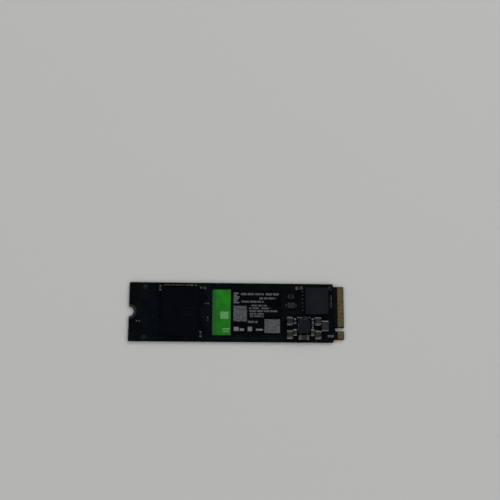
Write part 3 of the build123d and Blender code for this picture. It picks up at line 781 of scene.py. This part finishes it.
# generic print in millimetres: rows of upright strokes as start, end, middle and height, a block of lines,
# and plain plates along the foot as middle, width and height
printLook = dict(seed=11, thick=0.012, stroke=0.1, gap=0.1, groupGap=0.34, strokes=(4, 14),
                 rows=((1.5, 10.0, 6.9, 0.80), (10.8, 15.6, 6.9, 0.80), (8.5, 14.6, 5.35, 0.70),
                       (1.8, 10.0, 4.05, 0.75), (5.5, 11.0, 2.6, 0.60), (4.6, 8.6, 1.6, 0.60),
                       (9.2, 12.4, 1.6, 0.60), (4.8, 15.2, 0.55, 0.65), (4.8, 10.0, -0.45, 0.55),
                       (5.0, 10.0, -1.35, 0.65), (4.2, 8.0, -3.5, 0.80)),
                 block=dict(left=-1.2, right=0.9, low=3.3, high=7.5, lines=6, shares=(1.0, 0.6, 0.85),
                            lineShare=0.55),
                 foot=((-0.2, -6.15, 1.8, 1.5), (1.9, -6.4, 1.6, 0.9), (4.9, -6.15, 1.6, 1.6),
                       (8.4, -6.4, 2.6, 0.7)))


def strokeRows(rows, draw):
    # each row broken into groups of equal strokes, with a wider gap after every group
    shapes = []
    for start, end, y, tall in rows:
        x = start
        while x < end:
            for stroke in range(draw.randint(*printLook["strokes"])):
                if x > end:
                    break
                shapes.append((x, y, printLook["stroke"], tall))
                x += printLook["stroke"] + printLook["gap"]
            x += printLook["groupGap"]
    return shapes


def lineBlock(block):
    # lines of differing length, one above the other
    shapes = []
    pitch = (block["high"] - block["low"]) / block["lines"]
    for i in range(block["lines"]):
        wide = (block["right"] - block["left"]) * block["shares"][i % len(block["shares"])]
        shapes.append((block["left"] + wide / 2, block["low"] + (i + 0.5) * pitch, wide,
                       pitch * block["lineShare"]))
    return shapes


def makePlates(name, shapes, top, thick, ink):
    places = [(x * mm, y * mm, top) for x, y, wide, tall in shapes]
    sizes = [(wide * mm, tall * mm, thick * mm) for x, y, wide, tall in shapes]
    makePiece(name, places, plates, {"Material": ink}, sizes=sizes)


shapes = strokeRows(printLook["rows"], random.Random(printLook["seed"]))
shapes += lineBlock(printLook["block"])
shapes += printLook["foot"]
makePlates("label_rows", shapes, labelTop, printLook["thick"], paleInk)

# two grey panels, thinner than the small cells that mottle them
panelThick = printLook["thick"] / 2
fieldLook = {"label_field_left": dict(wide=5.04, tall=5.76, centre=(1.2, -0.45), pitch=0.36, gap=0.012,
                                      share=0.58, seed=3),
             "label_field_right": dict(wide=5.76, tall=5.12, centre=(13.2, -5.0), pitch=0.32, gap=0.012,
                                       share=0.66, seed=5)}
shapes = [(*look["centre"], look["wide"], look["tall"]) for look in fieldLook.values()]
makePlates("label_panels", shapes, labelTop, panelThick, darkInk)
for name, look in fieldLook.items():
    values = {"Wide": look["wide"] * mm, "Tall": look["tall"] * mm, "Pitch": look["pitch"] * mm,
              "Gap": look["gap"] * mm, "Share": look["share"], "Seed": look["seed"],
              "Thick": printLook["thick"] * mm, "Material": greyInk,
              "Centre": (look["centre"][0] * mm, look["centre"][1] * mm, labelTop)}
    makePiece(name, [(0, 0, 0)], cellFields, values)

# plain pale shapes on the green band, as middle, width and height
bandLook = dict(shapes=((-4.6, -1.1, 3.0, 2.7), (-4.0, -6.2, 2.6, 0.5), (-4.0, -7.1, 2.0, 0.5)))
makePlates("label_band_shapes", bandLook["shapes"], labelTop, printLook["thick"], leafInk)

# faint rows burnt into the packages
markLook = {
    "nand_flash": dict(seed=3, ink=faintMark, rows=((-20.0, -15.6, 1.2, 0.7), (-20.0, -16.8, 0.0, 0.7),
                                                    (-20.0, -15.2, -1.2, 0.7))),
    "controller": dict(seed=3, ink=laserMark, rows=((27.0, 31.5, 5.6, 0.7), (27.0, 30.6, 4.5, 0.7),
                                                    (27.0, 31.9, 3.4, 0.7))),
    "pmic": dict(seed=2, ink=laserMark, rows=((23.8, 26.2, -4.4, 0.5), (23.8, 25.8, -5.3, 0.5))),
}
for nodeName, look in markLook.items():
    shapes = strokeRows(look["rows"], random.Random(look["seed"]))
    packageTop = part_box(nodeName)[1].z
    makePlates(nodeName + "_marks", shapes, packageTop, printLook["thick"], look["ink"])


# a plain pale floor just under the card, half its side in metres
floorLook = dict(name="paleFloor", colour=(0.59, 0.59, 0.58), rough=0.7, gloss=0.2, halfSide=3.0, drop=0.02)


def layFloor():
    mesh = bpy.data.meshes.new("floor")
    reach = floorLook["halfSide"]
    mesh.from_pydata([(-reach, -reach, 0), (reach, -reach, 0), (reach, reach, 0), (-reach, reach, 0)], [],
                     [(0, 1, 2, 3)])
    finish = startFinish(floorLook["name"], floorLook["colour"], floorLook["rough"], floorLook["gloss"])[0]
    mesh.materials.append(finish)
    floor = bpy.data.objects.new("floor", mesh)
    bpy.context.scene.collection.objects.link(floor)
    floor.location.z = cadBox[0].z - floorLook["drop"] * mm


# strengths of the dome, and the heights between which it rises and falls
worldLook = dict(zenith=0.03, band=1.5, horizon=0.46, lowFrom=0.22, lowTo=0.50, highFrom=0.62, highTo=0.86)


def lightDome():
    # a bright belt round the card, dark overhead and dim along the horizon
    world = bpy.data.worlds.new("lightDome")
    bpy.context.scene.world = world
    world.use_nodes = True
    tree = world.node_tree
    tree.nodes.clear()
    sky = put(tree, "ShaderNodeTexCoord").outputs["Generated"]
    up = put(tree, "ShaderNodeSeparateXYZ", {0: sky}).outputs[2]
    rise = spread(tree, up, worldLook["lowFrom"], worldLook["lowTo"], worldLook["horizon"], worldLook["band"])
    fall = spread(tree, up, worldLook["highFrom"], worldLook["highTo"], 1.0,
                  worldLook["zenith"] / worldLook["band"])
    strength = calc(tree, "MULTIPLY", rise, fall)
    light = put(tree, "ShaderNodeBackground", {"Strength": strength}).outputs[0]
    put(tree, "ShaderNodeOutputWorld", {"Surface": light})


# lamps as azimuth, elevation, distance (metres), side (metres) and watts
lampLook = {"keyLamp": (50.0, 36.0, 1.4, 1.2, 6.8), "fillLamp": (215.0, 32.0, 1.5, 1.2, 2.6)}


def hangLamps():
    for name, (azimuth, elevation, distance, side, watts) in lampLook.items():
        lamp = bpy.data.lights.new(name, "AREA")
        lamp.size = side
        lamp.energy = watts
        holder = bpy.data.objects.new(name, lamp)
        bpy.context.scene.collection.objects.link(holder)
        holder.visible_camera = False
        around, up = math.radians(azimuth), math.radians(elevation)
        back = Vector((math.cos(around) * math.cos(up), math.sin(around) * math.cos(up), math.sin(up)))
        holder.location = back * distance
        holder.rotation_euler = back.to_track_quat("Z", "Y").to_euler()


# the camera looks down on the card: its tilt in degrees, the card's place before the lens in millimetres,
# and how near it sees in metres
cameraLook = dict(lens=57.6, pitch=-11.46, yaw=-2.09, roll=0.72, card=(-4.900, 23.212, 297.67),
                  clipStart=0.01)


def placeCamera():
    turn = (Matrix.Rotation(math.radians(cameraLook["roll"]), 3, "Z")
            @ Matrix.Rotation(math.radians(cameraLook["yaw"]), 3, "Y")
            @ Matrix.Rotation(math.radians(cameraLook["pitch"]), 3, "X"))
    flip = Matrix.Diagonal((1, -1, -1))
    centre = flip @ (turn.transposed() @ Vector(cameraLook["card"])) * -mm
    centre.z += boardTop
    right, up, back = flip @ turn[0], -(flip @ turn[1]), -(flip @ turn[2])
    camera = bpy.data.objects.new("camera", bpy.data.cameras.new("camera"))
    bpy.context.scene.collection.objects.link(camera)
    camera.data.lens = cameraLook["lens"]
    camera.data.clip_start = cameraLook["clipStart"]
    camera.matrix_world = Matrix.Translation(centre) @ Matrix((right, up, back)).transposed().to_4x4()
    bpy.context.scene.camera = camera


layFloor()
lightDome()
hangLamps()
placeCamera()
bpy.context.scene.view_settings.view_transform = "Standard"
print("floor, lights and camera set")
